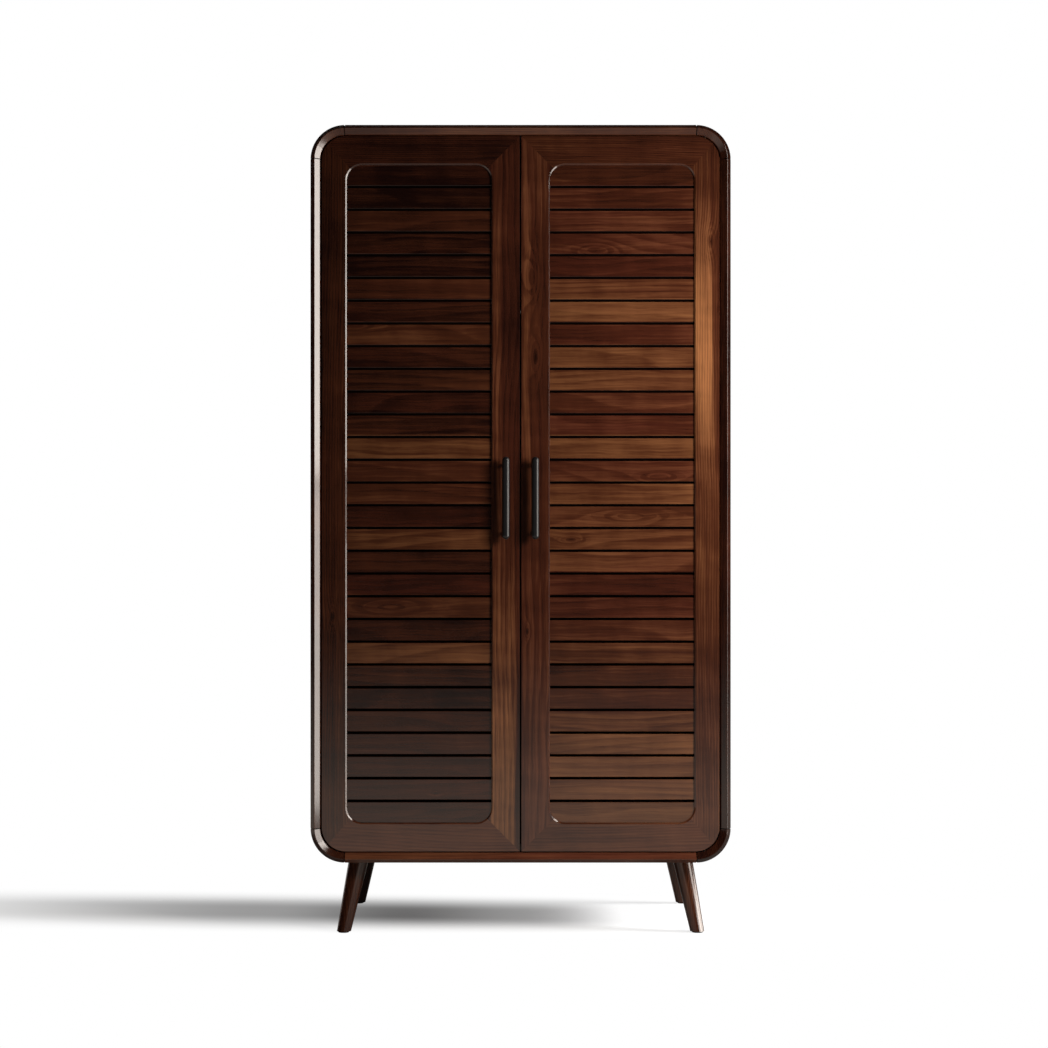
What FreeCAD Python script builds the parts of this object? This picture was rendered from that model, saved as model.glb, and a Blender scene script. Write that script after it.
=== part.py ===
import FreeCAD, Part
import os
from math import sqrt

from FreeCAD import Vector

# Two-door wardrobe on four splayed legs, in millimetres.
# The front faces -Y, +X is to the right and +Z is up. The origin lies on the floor, in the
# middle of the width and of the depth from the handles to the back.

# Carcass: a tube of four panels and four quarter-round corner blocks, open at the front
carcass_width = 1000.0
carcass_height = 1756.0
carcass_depth = 560.0
panel_thickness = 24.0
corner_radius = 82.0

# Front edge of the carcass: a ridge between two sloping facets, proud of the doors
crest_inset = 9.0
outer_fall = 10.5
inner_fall = 13.5
crest_round = 2.0

# Shadow groove in the outside and the ridge where a corner block meets a panel
seam_groove_width = 2.0
seam_groove_depth = 1.0
seam_groove_fall = 5.0

# Dowels in the seams between the panels and the corner blocks
dowel_radius = 4.0
dowel_length = 40.0
dowels_per_seam = 3
dowel_edge_distance = 70.0

# Back panel in a rebate, and the rail behind the hat space that takes the wall screws
back_thickness = 6.0
back_rebate = 10.0
back_fit = 0.4
wall_rail_height = 80.0
wall_rail_thickness = 18.0
wall_hole_radius = 3.5
wall_hole_spacing = 600.0

# Doors: mitred frames with a row of flat slats let in from behind
door_gap = 2.5
meeting_gap = 3.0
door_setback = 10.5
door_thickness = 22.0
door_edge_chamfer = 0.4
door_corner_ease = 2.0
outer_stile_width = 56.5
inner_stile_width = 65.0
frame_rail_width = 65.0
recess_radius = 40.0
recess_chamfer = 3.0
lip_thickness = 7.0
slat_lap = 8.0
slat_fit = 0.5
slat_count = 29
slat_gap = 5.0
slat_thickness = 8.0
slat_chamfer = 1.2
backing_thickness = 5.0

# Pivots: a steel pin in each corner block turns in a cup bush in the door's rail
pivot_inset = 36.0
pivot_depth = 4.4
pivot_pin_radius = 2.5
pivot_running_fit = 0.05
pivot_end_play = 0.3
pin_seat_depth = 18.0
bush_wall = 1.0
bush_length = 26.0

# Handles: a bar with rounded ends on two posts, screwed on from behind
handle_edge_distance = 33.5
handle_centre_height = 1038.0
handle_length = 196.0
handle_width = 18.0
handle_thickness = 12.0
handle_standoff = 22.0
handle_edge_round = 8.5
post_spacing = 160.0
post_radius = 4.5
screw_radius = 2.0
screw_clearance = 0.2
screw_reach = 12.0
screw_head_radius = 4.2
screw_head_height = 2.6

# Door stops and magnetic catches at the top and the bottom
stop_length = 700.0
stop_depth = 20.0
stop_height = 15.0
stop_gap = 2.0
catch_centre = 75.0
catch_width = 46.0
catch_height = 16.0
catch_depth = 18.0
catch_corner_radius = 2.5
catch_gap = 0.3
magnet_width = 30.0
magnet_height = 7.0
magnet_depth = 9.0
strike_width = 40.0
strike_height = 13.0
strike_thickness = 1.5
strike_corner_radius = 2.0

# Hat shelf on four pins
hat_space = 300.0
shelf_thickness = 18.0
shelf_setback = 45.0
shelf_fit = 0.5
shelf_edge_round = 3.0
shelf_pin_radius = 3.5
shelf_pin_length = 20.0
shelf_pin_seat = 10.0
shelf_pin_edge_distance = 50.0

# Hanging rail, a tube between two sockets
rail_radius = 12.5
rail_wall = 1.5
rail_drop = 60.0
rail_end_play = 0.4
socket_fit = 0.2
socket_wall = 2.5
socket_depth = 14.0
socket_flange_radius = 23.0
socket_flange_thickness = 3.0
socket_edge_round = 1.0

# Legs: turned tapers that splay outwards, on nylon glides
leg_height = 171.0
leg_inset_x = 110.0
leg_inset_y = 70.0
leg_splay_x = 34.0
leg_splay_y = 24.0
leg_top_radius = 23.5
leg_foot_radius = 16.5
bolt_radius = 4.0
bolt_depth_in_leg = 38.0
bolt_depth_in_panel = 15.0
insert_radius = 6.5
insert_height = 18.0
glide_radius = 13.0
glide_thickness = 3.0
glide_edge_round = 1.0
glide_pin_radius = 2.0
glide_pin_length = 14.0

# Every cutter runs this far past the faces that it cuts through
overrun = 5.0

# Edges nearer to a plane than this lie in it
hairline = 0.02

# Places worked out from the sizes above
half_width = carcass_width / 2
handle_reach = handle_standoff + handle_thickness - door_setback
front_y = (handle_reach - carcass_depth) / 2
back_y = front_y + carcass_depth
base_z = leg_height
top_z = base_z + carcass_height
inner_x = half_width - panel_thickness
inner_base_z = base_z + panel_thickness
inner_top_z = top_z - panel_thickness
seam_x = half_width - corner_radius
seam_base_z = base_z + corner_radius
seam_top_z = top_z - corner_radius
inner_corner_radius = corner_radius - panel_thickness

back_panel_y = back_y - back_thickness

door_front_y = front_y + door_setback
door_back_y = door_front_y + door_thickness
door_outer_x = inner_x - door_gap
door_inner_x = meeting_gap / 2
door_base_z = inner_base_z + door_gap
door_top_z = inner_top_z - door_gap
door_corner_radius = inner_corner_radius - door_gap + door_corner_ease

opening_x0 = door_inner_x + inner_stile_width + recess_chamfer
opening_x1 = door_outer_x - outer_stile_width - recess_chamfer
opening_z0 = door_base_z + frame_rail_width + recess_chamfer
opening_z1 = door_top_z - frame_rail_width - recess_chamfer
opening_radius = recess_radius - recess_chamfer
slat_front_y = door_front_y + lip_thickness
backing_front_y = slat_front_y + slat_thickness

pivot_x = door_outer_x - pivot_inset
pivot_y = door_front_y + pivot_depth
bush_radius = pivot_pin_radius + pivot_running_fit + bush_wall

handle_x = door_inner_x + handle_edge_distance
handle_back_y = door_front_y - handle_standoff
handle_front_y = handle_back_y - handle_thickness

stop_front_y = door_back_y + stop_gap
catch_front_y = door_back_y + strike_thickness + catch_gap

shelf_top_z = inner_top_z - hat_space
shelf_base_z = shelf_top_z - shelf_thickness
shelf_front_y = door_back_y + shelf_setback
shelf_back_y = back_panel_y - shelf_fit
rail_y = (shelf_front_y + shelf_back_y) / 2
rail_z = shelf_base_z - rail_drop

X = Vector(1, 0, 0)
Y = Vector(0, 1, 0)
Z = Vector(0, 0, 1)
ORIGIN = Vector(0, 0, 0)


def export(name, *solids):
    """Writes one sub-part, which may hold several separate solids."""
    shape = solids[0] if len(solids) == 1 else Part.makeCompound(list(solids))
    shape.exportStep("parts/" + name + ".step")


def mirrored(shape):
    """The same piece on the other side of the wardrobe."""
    return shape.mirror(ORIGIN, X)


def upside_down(shape):
    """The same piece at the other end of the carcass, mirrored about its middle height."""
    return shape.mirror(Vector(0, 0, (base_z + top_z) / 2), Z)


def front_view(y):
    """Maps an outline drawn in X and Z to a plane at this depth."""
    return lambda x, z: Vector(x, y, z)


def rounded_outline(corners, place):
    """A closed outline through (u, v, radius) corners, each rounded with a tangent arc."""
    edges = []
    ends = []
    for n, (u, v, radius) in enumerate(corners):
        corner = Vector(u, v, 0)
        before = Vector(*corners[n - 1][:2], 0)
        after = Vector(*corners[(n + 1) % len(corners)][:2], 0)
        to_before = (before - corner).normalize()
        to_after = (after - corner).normalize()
        if radius > 0:
            middle = (to_before + to_after).normalize()
            half_sine = (to_before - to_after).Length / 2
            half_cosine = (to_before + to_after).Length / 2
            reach = radius * half_cosine / half_sine
            start = corner + to_before * reach
            end = corner + to_after * reach
            crown = corner + middle * (radius / half_sine - radius)
            arc = [place(p.x, p.y) for p in (start, crown, end)]
            edges.append(Part.Arc(*arc).toShape())
        else:
            start = end = corner
        ends.append((start, end))
    for n, (start, end) in enumerate(ends):
        previous_end = ends[n - 1][1]
        edges.append(Part.makeLine(place(previous_end.x, previous_end.y), place(start.x, start.y)))
    return Part.Wire(Part.__sortEdges__(edges))


def rectangle(x0, x1, z0, z1, radius, place):
    """A rectangle with the same rounding at its four corners."""
    corners = [(x0, z0, radius), (x1, z0, radius), (x1, z1, radius), (x0, z1, radius)]
    return rounded_outline(corners, place)


def plate(x0, x1, z0, z1, radius, y0, y1):
    """A plate parallel to the front, from one depth to another."""
    return Part.Face(rectangle(x0, x1, z0, z1, radius, front_view(y0))).extrude(Y * (y1 - y0))


def block(x0, x1, y0, y1, z0, z1):
    """A plain rectangular block between two corners."""
    return Part.makeBox(x1 - x0, y1 - y0, z1 - z0, Vector(x0, y0, z0))


def edges_at_depth(shape, y):
    """The edges of a shape that lie wholly in the plane at this depth."""
    return [
        edge for edge in shape.Edges
        if abs(edge.BoundBox.YMin - y) < hairline and abs(edge.BoundBox.YMax - y) < hairline
    ]


def in_recess(edge):
    """Whether an edge of the door's front belongs to the recess and not to the door's outline."""
    grow = recess_chamfer + hairline
    box = edge.BoundBox
    across = box.XMin > opening_x0 - grow and box.XMax < opening_x1 + grow
    upright = box.ZMin > opening_z0 - grow and box.ZMax < opening_z1 + grow
    return across and upright


def wall_profile(place):
    """Section of the carcass wall: inward distance from the outer face, then depth."""
    rebate_y = back_panel_y
    rebate_in = panel_thickness - back_rebate
    corners = [
        (0, front_y + outer_fall, 0),
        (crest_inset, front_y, crest_round),
        (panel_thickness, front_y + inner_fall, 0),
        (panel_thickness, rebate_y, 0),
        (rebate_in, rebate_y, 0),
        (rebate_in, back_y, 0),
        (0, back_y, 0),
    ]
    return Part.Face(rounded_outline(corners, place))


def dowel_depths():
    """Depths of the dowels in one seam, evenly spread."""
    first = front_y + inner_fall + dowel_edge_distance
    last = back_y - dowel_edge_distance
    step = (last - first) / (dowels_per_seam - 1)
    return [first + step * n for n in range(dowels_per_seam)]


def corner_dowels():
    """The dowels of the upper right corner, across both of its seams."""
    solids = []
    for y in dowel_depths():
        across = Vector(seam_x - dowel_length / 2, y, top_z - panel_thickness / 2)
        upright = Vector(half_width - panel_thickness / 2, y, seam_top_z - dowel_length / 2)
        solids.append(Part.makeCylinder(dowel_radius, dowel_length, across, X))
        solids.append(Part.makeCylinder(dowel_radius, dowel_length, upright, Z))
    return solids


def all_dowels():
    """The dowels of all four corners."""
    upper_right = corner_dowels()
    upper_left = [mirrored(dowel) for dowel in upper_right]
    upper = upper_right + upper_left
    return upper + [upside_down(dowel) for dowel in upper]


def top_panel(dowels):
    """The straight top between the two upper corner blocks."""
    profile = wall_profile(lambda u, y: Vector(-seam_x, y, top_z - u))
    return profile.extrude(X * (2 * seam_x)).cut(dowels)


def bottom_panel(dowels):
    """The straight bottom, drilled for the inserts that hold the legs."""
    profile = wall_profile(lambda u, y: Vector(-seam_x, y, base_z + u))
    panel = profile.extrude(X * (2 * seam_x))
    return panel.cut(dowels + all_four(leg_insert_body()))


def side_panel(dowels):
    """The right side between its two corner blocks, drilled for the shelf pins."""
    profile = wall_profile(lambda u, y: Vector(half_width - u, y, seam_base_z))
    panel = profile.extrude(Z * (seam_top_z - seam_base_z))
    return panel.cut(dowels + shelf_pins())


def seam_grooves():
    """Cutters for the shadow grooves at both ends of the upper right corner block."""
    width = seam_groove_width
    depth = seam_groove_depth
    fall = seam_groove_fall
    front = front_y - overrun
    back = back_y + overrun
    across = block(seam_x, seam_x + width, front, back, inner_top_z, top_z)
    kept = wall_profile(lambda u, y: Vector(seam_x, y + fall, top_z - u - depth))
    upright = block(inner_x, half_width, front, back, seam_top_z, seam_top_z + width)
    kept_upright = wall_profile(lambda u, y: Vector(half_width - u - depth, y + fall, seam_top_z))
    return [across.cut(kept.extrude(X * width)), upright.cut(kept_upright.extrude(Z * width))]


def corner_block(dowels):
    """The upper right quarter round, with the ridge carried round it."""
    profile = wall_profile(lambda u, y: Vector(seam_x, y, top_z - u))
    centre = Vector(seam_x, 0, seam_top_z)
    quarter = profile.revolve(centre, Y, 90)
    return quarter.cut(dowels + [pivot_pin()] + seam_grooves())


def back_panel():
    """The thin back in its rebate, drilled in line with the wall fixing rail."""
    edge = panel_thickness - back_rebate + back_fit
    radius = corner_radius - edge
    x = half_width - edge
    panel = plate(-x, x, base_z + edge, top_z - edge, radius, back_panel_y, back_y)
    return panel.cut(wall_holes())


def wall_fixing_rail():
    """The rail under the top, at the back, that screws to the wall."""
    front = back_panel_y - wall_rail_thickness
    base = inner_top_z - wall_rail_height
    rail = block(-seam_x, seam_x, front, back_panel_y, base, inner_top_z)
    return rail.cut(wall_holes())


def wall_holes():
    """Cutters for the two wall screws, through the rail and the back panel."""
    z = inner_top_z - wall_rail_height / 2
    start = back_panel_y - wall_rail_thickness - overrun
    length = back_y - start + overrun
    places = [Vector(side * wall_hole_spacing / 2, start, z) for side in (-1, 1)]
    return [Part.makeCylinder(wall_hole_radius, length, place, Y) for place in places]


def arc_height(radius, x):
    """Height above the corner centre of an arc of this radius, at a distance from the centre line."""
    return sqrt(radius ** 2 - (x - seam_x) ** 2)


def bush_top():
    """Height at which the whole rim of the upper bush lies inside the door's round corner."""
    return seam_top_z + arc_height(door_corner_radius, pivot_x + bush_radius)


def pivot_pin():
    """The upper right pin, from its seat in the corner block down into the bush."""
    base = bush_top() - bush_length + bush_wall + pivot_end_play
    top = seam_top_z + arc_height(inner_corner_radius, pivot_x) + pin_seat_depth
    return Part.makeCylinder(pivot_pin_radius, top - base, Vector(pivot_x, pivot_y, base), Z)


def pivot_bush():
    """The upper right bush, a cup that is open towards the pin."""
    base = Vector(pivot_x, pivot_y, bush_top() - bush_length)
    cup = Part.makeCylinder(bush_radius, bush_length, base, Z)
    bore = Part.makeCylinder(pivot_pin_radius + pivot_running_fit, bush_length, base + Z * bush_wall, Z)
    return cup.cut(bore)


def bush_bore():
    """Cutter for the bush's seat, from its foot out through the door's top edge."""
    base = Vector(pivot_x, pivot_y, bush_top() - bush_length)
    return Part.makeCylinder(bush_radius, bush_length + door_corner_radius, base, Z)


def door_frame():
    """The whole frame of the right door, before it is mitred into stiles and rails."""
    corners = [
        (door_inner_x, door_base_z, 0),
        (door_outer_x, door_base_z, door_corner_radius),
        (door_outer_x, door_top_z, door_corner_radius),
        (door_inner_x, door_top_z, 0),
    ]
    outline = rounded_outline(corners, front_view(door_front_y))
    board = Part.Face(outline).extrude(Y * door_thickness)
    opening = plate(
        opening_x0, opening_x1, opening_z0, opening_z1, opening_radius,
        door_front_y - overrun, door_back_y + overrun,
    )
    board = board.cut(opening)
    recess_edges = [edge for edge in edges_at_depth(board, door_front_y) if in_recess(edge)]
    board = board.makeChamfer(recess_chamfer, recess_edges)
    outline_edges = [edge for edge in edges_at_depth(board, door_front_y) if not in_recess(edge)]
    board = board.makeChamfer(door_edge_chamfer, outline_edges)
    bores = [bush_bore(), upside_down(bush_bore())] + handle_screw_holes()
    return board.cut([slat_seat(0, slat_front_y, door_back_y + overrun)] + bores)


def slat_seat(inset, y0, y1):
    """A plate with the outline of the rebate behind the frame, drawn in by an inset."""
    grow = slat_lap - inset
    return plate(
        opening_x0 - grow, opening_x1 + grow, opening_z0 - grow, opening_z1 + grow,
        opening_radius + grow, y0, y1,
    )


def mitred_pieces():
    """The frame cut along its four mitres: outer stile, inner stile, top rail, bottom rail."""
    frame = door_frame()
    reach_share = 2
    outer = door_outer_x - outer_stile_width * reach_share
    inner = door_inner_x + inner_stile_width * reach_share
    low = door_base_z + frame_rail_width * reach_share
    high = door_top_z - frame_rail_width * reach_share
    regions = [
        [(door_outer_x, door_base_z), (door_outer_x, door_top_z), (outer, high), (outer, low)],
        [(door_inner_x, door_top_z), (door_inner_x, door_base_z), (inner, low), (inner, high)],
        [(door_outer_x, door_top_z), (door_inner_x, door_top_z), (inner, high), (outer, high)],
        [(door_inner_x, door_base_z), (door_outer_x, door_base_z), (outer, low), (inner, low)],
    ]
    pieces = []
    for region in regions:
        corners = [(x, z, 0) for x, z in region]
        outline = rounded_outline(corners, front_view(door_front_y - overrun))
        prism = Part.Face(outline).extrude(Y * (door_thickness + 2 * overrun))
        pieces.append(frame.common(prism).Solids[0])
    return pieces


def slats():
    """The flat slats; they show at one height, and the outer two reach on under the lip."""
    seat = slat_seat(slat_fit, slat_front_y, backing_front_y)
    box = seat.BoundBox
    pitch = (opening_z1 - opening_z0 + slat_gap) / slat_count
    solids = []
    for n in range(slat_count):
        low = opening_z0 + pitch * n if n > 0 else box.ZMin
        high = opening_z0 + pitch * (n + 1) - slat_gap if n < slat_count - 1 else box.ZMax
        corners = [
            (slat_front_y, low + slat_chamfer, 0),
            (slat_front_y + slat_chamfer, low, 0),
            (backing_front_y, low, 0),
            (backing_front_y, high, 0),
            (slat_front_y + slat_chamfer, high, 0),
            (slat_front_y, high - slat_chamfer, 0),
        ]
        outline = rounded_outline(corners, lambda y, z: Vector(box.XMin, y, z))
        board = Part.Face(outline).extrude(X * box.XLength)
        solids.append(board.common(seat).Solids[0])
    return solids


def backing_panel():
    """The thin panel that closes the door behind the slats."""
    return slat_seat(slat_fit, backing_front_y, backing_front_y + backing_thickness)


def post_heights():
    """Heights of the two posts of a handle."""
    return [handle_centre_height + side * post_spacing / 2 for side in (-1, 1)]


def handle_bar():
    """The upright bar with round ends and softened front edges."""
    radius = handle_width / 2
    low = handle_centre_height - handle_length / 2 + radius
    high = handle_centre_height + handle_length / 2 - radius
    place = front_view(handle_back_y)
    left = handle_x - radius
    right = handle_x + radius
    edges = [
        Part.makeLine(place(left, low), place(left, high)),
        Part.Arc(place(left, high), place(handle_x, high + radius), place(right, high)).toShape(),
        Part.makeLine(place(right, high), place(right, low)),
        Part.Arc(place(right, low), place(handle_x, low - radius), place(left, low)).toShape(),
    ]
    bar = Part.Face(Part.Wire(edges)).extrude(Y * -handle_thickness)
    return bar.makeFillet(handle_edge_round, edges_at_depth(bar, handle_front_y))


def handle_posts():
    """The two round posts between the door and the bar, tapped for the screws."""
    solids = []
    for z in post_heights():
        post = Part.makeCylinder(post_radius, handle_standoff, Vector(handle_x, handle_back_y, z), Y)
        solids.append(post.cut(screw_shank(z)))
    return solids


def screw_shank(z):
    """The shank of one handle screw, from the back of the stile into the post."""
    start = Vector(handle_x, door_front_y - screw_reach, z)
    return Part.makeCylinder(screw_radius, screw_reach + door_thickness, start, Y)


def handle_screws():
    """The two screws with their domed heads on the back of the stile."""
    solids = []
    for z in post_heights():
        head = Part.makeCylinder(screw_head_radius, screw_head_height, Vector(handle_x, door_back_y, z), Y)
        rim = edges_at_depth(head, door_back_y + screw_head_height)
        head = head.makeFillet(screw_head_height / 2, rim)
        solids.append(screw_shank(z).fuse(head).removeSplitter())
    return solids


def handle_screw_holes():
    """Cutters for the screw holes through the inner stile."""
    radius = screw_radius + screw_clearance
    length = door_thickness + 2 * overrun
    starts = [Vector(handle_x, door_front_y - overrun, z) for z in post_heights()]
    return [Part.makeCylinder(radius, length, start, Y) for start in starts]


def stop_strip():
    """The upper strip that the doors close towards."""
    back = stop_front_y + stop_depth
    half = stop_length / 2
    return block(-half, half, stop_front_y, back, inner_top_z - stop_height, inner_top_z)


def catch_housing():
    """The upper right catch housing, under the stop strip, with a pocket for its magnet."""
    top = inner_top_z - stop_height
    left = catch_centre - catch_width / 2
    right = catch_centre + catch_width / 2
    back = catch_front_y + catch_depth
    housing = plate(left, right, top - catch_height, top, catch_corner_radius, catch_front_y, back)
    return housing.cut(catch_magnet())


def catch_magnet():
    """The magnet of the upper right catch, flush with the housing's front."""
    middle = inner_top_z - stop_height - catch_height / 2
    left = catch_centre - magnet_width / 2
    right = catch_centre + magnet_width / 2
    back = catch_front_y + magnet_depth
    low = middle - magnet_height / 2
    return block(left, right, catch_front_y, back, low, low + magnet_height)


def strike_plate():
    """The steel plate on the back of the right door's top rail, in front of its catch."""
    middle = inner_top_z - stop_height - catch_height / 2
    left = catch_centre - strike_width / 2
    right = catch_centre + strike_width / 2
    low = middle - strike_height / 2
    back = door_back_y + strike_thickness
    return plate(left, right, low, low + strike_height, strike_corner_radius, door_back_y, back)


def hat_shelf():
    """The shelf above the hanging rail, rounded along its front edge."""
    half = inner_x - shelf_fit
    corners = [
        (shelf_front_y, shelf_base_z, shelf_edge_round),
        (shelf_back_y, shelf_base_z, 0),
        (shelf_back_y, shelf_top_z, 0),
        (shelf_front_y, shelf_top_z, shelf_edge_round),
    ]
    outline = rounded_outline(corners, lambda y, z: Vector(-half, y, z))
    return Part.Face(outline).extrude(X * (2 * half))


def shelf_pins():
    """The two pins in the right side, under the shelf."""
    start = inner_x - (shelf_pin_length - shelf_pin_seat)
    z = shelf_base_z - shelf_pin_radius
    depths = [shelf_front_y + shelf_pin_edge_distance, shelf_back_y - shelf_pin_edge_distance]
    return [Part.makeCylinder(shelf_pin_radius, shelf_pin_length, Vector(start, y, z), X) for y in depths]


def hanging_rail():
    """The tube that the hangers go on."""
    half = inner_x - socket_flange_thickness - rail_end_play
    start = Vector(-half, rail_y, rail_z)
    tube = Part.makeCylinder(rail_radius, 2 * half, start, X)
    bore = Part.makeCylinder(rail_radius - rail_wall, 2 * (half + overrun), start - X * overrun, X)
    return tube.cut(bore)


def rail_socket():
    """The right socket, a flange against the side with a cup round the rail's end."""
    cup_inside = rail_radius + socket_fit
    cup_outside = cup_inside + socket_wall
    flange_x = inner_x - socket_flange_thickness
    mouth_x = inner_x - socket_depth
    corners = [
        (inner_x, 0, 0),
        (inner_x, socket_flange_radius, 0),
        (flange_x, socket_flange_radius, socket_edge_round),
        (flange_x, cup_outside, 0),
        (mouth_x, cup_outside, socket_edge_round),
        (mouth_x, cup_inside, 0),
        (flange_x, cup_inside, 0),
        (flange_x, 0, 0),
    ]
    outline = rounded_outline(corners, lambda x, r: Vector(x, rail_y, rail_z + r))
    return Part.Face(outline).revolve(Vector(0, rail_y, rail_z), X, 360)


def leg_axis():
    """Top centre and foot centre of the front right leg."""
    top = Vector(half_width - leg_inset_x, front_y + leg_inset_y, base_z)
    foot = Vector(top.x + leg_splay_x, top.y - leg_splay_y, 0)
    return top, foot


def slab(z0, z1):
    """Everything between two heights, wide enough for the whole wardrobe."""
    return block(-carcass_width, carcass_width, -carcass_width, carcass_width, z0, z1)


def leg():
    """The front right leg, a turned taper cut level at its top and its foot."""
    top, foot = leg_axis()
    length = (top - foot).Length
    along = (top - foot).normalize()
    taper = (leg_top_radius - leg_foot_radius) / length
    extra = leg_top_radius
    cone = Part.makeCone(
        leg_foot_radius - taper * extra,
        leg_top_radius + taper * extra,
        length + 2 * extra,
        foot - along * extra,
        along,
    )
    body = cone.common(slab(glide_thickness, base_z))
    return body.cut([leg_bolt(), glide()])


def leg_bolt():
    """The threaded rod that joins the front right leg to its insert."""
    top, foot = leg_axis()
    along = (top - foot).normalize()
    start = top - along * bolt_depth_in_leg
    return Part.makeCylinder(bolt_radius, bolt_depth_in_leg + bolt_depth_in_panel, start, along)


def leg_insert_body():
    """The insert in the bottom panel, before it is bored for the rod."""
    top, foot = leg_axis()
    along = (top - foot).normalize()
    start = top - along * insert_height
    sleeve = Part.makeCylinder(insert_radius, 2 * insert_height + bolt_depth_in_leg, start, along)
    return sleeve.common(slab(base_z, base_z + insert_height))


def leg_insert():
    """The sleeve in the bottom panel that the rod screws into."""
    return leg_insert_body().cut(leg_bolt())


def glide():
    """The nylon disc under the front right foot, with its pin up into the leg."""
    top, foot = leg_axis()
    corners = [
        (0, 0, 0),
        (glide_radius, 0, glide_edge_round),
        (glide_radius, glide_thickness, 0),
        (glide_pin_radius, glide_thickness, 0),
        (glide_pin_radius, glide_pin_length, 0),
        (0, glide_pin_length, 0),
    ]
    outline = rounded_outline(corners, lambda r, z: Vector(foot.x + r, foot.y, z))
    return Part.Face(outline).revolve(foot, Z, 360)


def to_the_rear(shape):
    """The same piece of a rear leg, mirrored about the middle of the carcass depth."""
    return shape.mirror(Vector(0, (front_y + back_y) / 2, 0), Y)


def all_four(shape):
    """A piece of the front right leg, with its three copies at the other legs."""
    front = [shape, mirrored(shape)]
    return front + [to_the_rear(piece) for piece in front]


def build_carcass():
    """Writes the panels, the corner blocks, the back and what joins them."""
    dowels = all_dowels()
    export("corner_dowels", *dowels)
    export("top_panel", top_panel(dowels))
    export("bottom_panel", bottom_panel(dowels))
    side = side_panel(dowels)
    export("right_side_panel", side)
    export("left_side_panel", mirrored(side))
    corner = corner_block(dowels)
    export("top_right_corner_block", corner)
    export("top_left_corner_block", mirrored(corner))
    export("bottom_right_corner_block", upside_down(corner))
    export("bottom_left_corner_block", mirrored(upside_down(corner)))
    export("back_panel", back_panel())
    export("wall_fixing_rail", wall_fixing_rail())


def build_interior():
    """Writes the shelf, the hanging rail, the stops and the catches."""
    export("hat_shelf", hat_shelf())
    pins = shelf_pins()
    export("shelf_pins", *pins, *[mirrored(pin) for pin in pins])
    export("hanging_rail", hanging_rail())
    socket = rail_socket()
    export("right_rail_socket", socket)
    export("left_rail_socket", mirrored(socket))
    export("top_stop_strip", stop_strip())
    export("bottom_stop_strip", upside_down(stop_strip()))
    for name, piece in (("catch_housings", catch_housing()), ("catch_magnets", catch_magnet())):
        upper = [piece, mirrored(piece)]
        export(name, *upper, *[upside_down(part) for part in upper])


def build_legs():
    """Writes the four legs, their rods and inserts, and the glides."""
    names = ("front_right_leg", "front_left_leg", "rear_right_leg", "rear_left_leg")
    for name, shape in zip(names, all_four(leg())):
        export(name, shape)
    export("leg_bolts", *all_four(leg_bolt()))
    export("leg_inserts", *all_four(leg_insert()))
    export("foot_glides", *all_four(glide()))


def build_doors():
    """Writes the two doors, which mirror each other, and the pins that they turn on."""
    outer_stile, inner_stile, top_rail, bottom_rail = mitred_pieces()
    pin = pivot_pin()
    bush = pivot_bush()
    strike = strike_plate()
    groups = {
        "door_outer_stile": [outer_stile],
        "door_inner_stile": [inner_stile],
        "door_top_rail": [top_rail],
        "door_bottom_rail": [bottom_rail],
        "door_slats": slats(),
        "door_backing": [backing_panel()],
        "handle_bar": [handle_bar()],
        "handle_posts": handle_posts(),
        "handle_screws": handle_screws(),
        "pivot_bushes": [bush, upside_down(bush)],
        "strike_plates": [strike, upside_down(strike)],
        "pivot_pins": [pin, upside_down(pin)],
    }
    for name, solids in groups.items():
        export("right_" + name, *solids)
        export("left_" + name, *[mirrored(solid) for solid in solids])


os.makedirs("parts", exist_ok=True)
build_carcass()
build_interior()
build_legs()
build_doors()
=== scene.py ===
from math import pi, radians

import bmesh
import bpy
from mathutils import Matrix, Vector


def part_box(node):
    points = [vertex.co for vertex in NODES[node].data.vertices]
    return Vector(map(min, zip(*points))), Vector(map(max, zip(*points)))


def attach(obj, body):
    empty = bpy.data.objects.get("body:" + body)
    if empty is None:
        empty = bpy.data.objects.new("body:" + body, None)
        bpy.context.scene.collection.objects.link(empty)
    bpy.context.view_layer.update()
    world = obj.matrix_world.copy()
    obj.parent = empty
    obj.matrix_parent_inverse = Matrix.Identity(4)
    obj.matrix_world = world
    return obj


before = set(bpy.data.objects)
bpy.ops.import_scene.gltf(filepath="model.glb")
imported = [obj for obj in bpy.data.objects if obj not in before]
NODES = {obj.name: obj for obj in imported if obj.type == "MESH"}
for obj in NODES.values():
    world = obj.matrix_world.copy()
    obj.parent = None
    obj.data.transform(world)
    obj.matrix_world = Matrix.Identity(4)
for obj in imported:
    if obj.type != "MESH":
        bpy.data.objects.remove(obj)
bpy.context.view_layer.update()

bl_info = {
    "name": "Slatted wardrobe",
    "version": (1, 0, 0),
    "blender": (4, 5, 0),
    "location": "3D View > Sidebar > Wardrobe",
    "description": "Finishes, small fastenings and a plain studio for a wardrobe with slatted doors",
    "category": "Object",
}

MM = 0.001
SIDES = (("left", -1), ("right", 1))
AXES = "XYZ"

# Boards of each door from the top slat down, one letter a board, named by their finish
BOARD_ORDER = {
    "left": "kkdkkmdmddkdammpadpmdldddgggg",
    "right": "drrrpmlraarrarammmppmmdmmllla",
}
# Tone from dark to light, and hue from purple red to amber, of each letter
BOARD_SHARES = {
    "k": (0.20, 0.35),
    "d": (0.33, 0.50),
    "g": (0.36, 0.40),
    "p": (0.40, 0.05),
    "r": (0.50, 0.20),
    "m": (0.54, 0.60),
    "a": (0.66, 0.90),
    "l": (0.76, 0.85),
}

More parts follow.
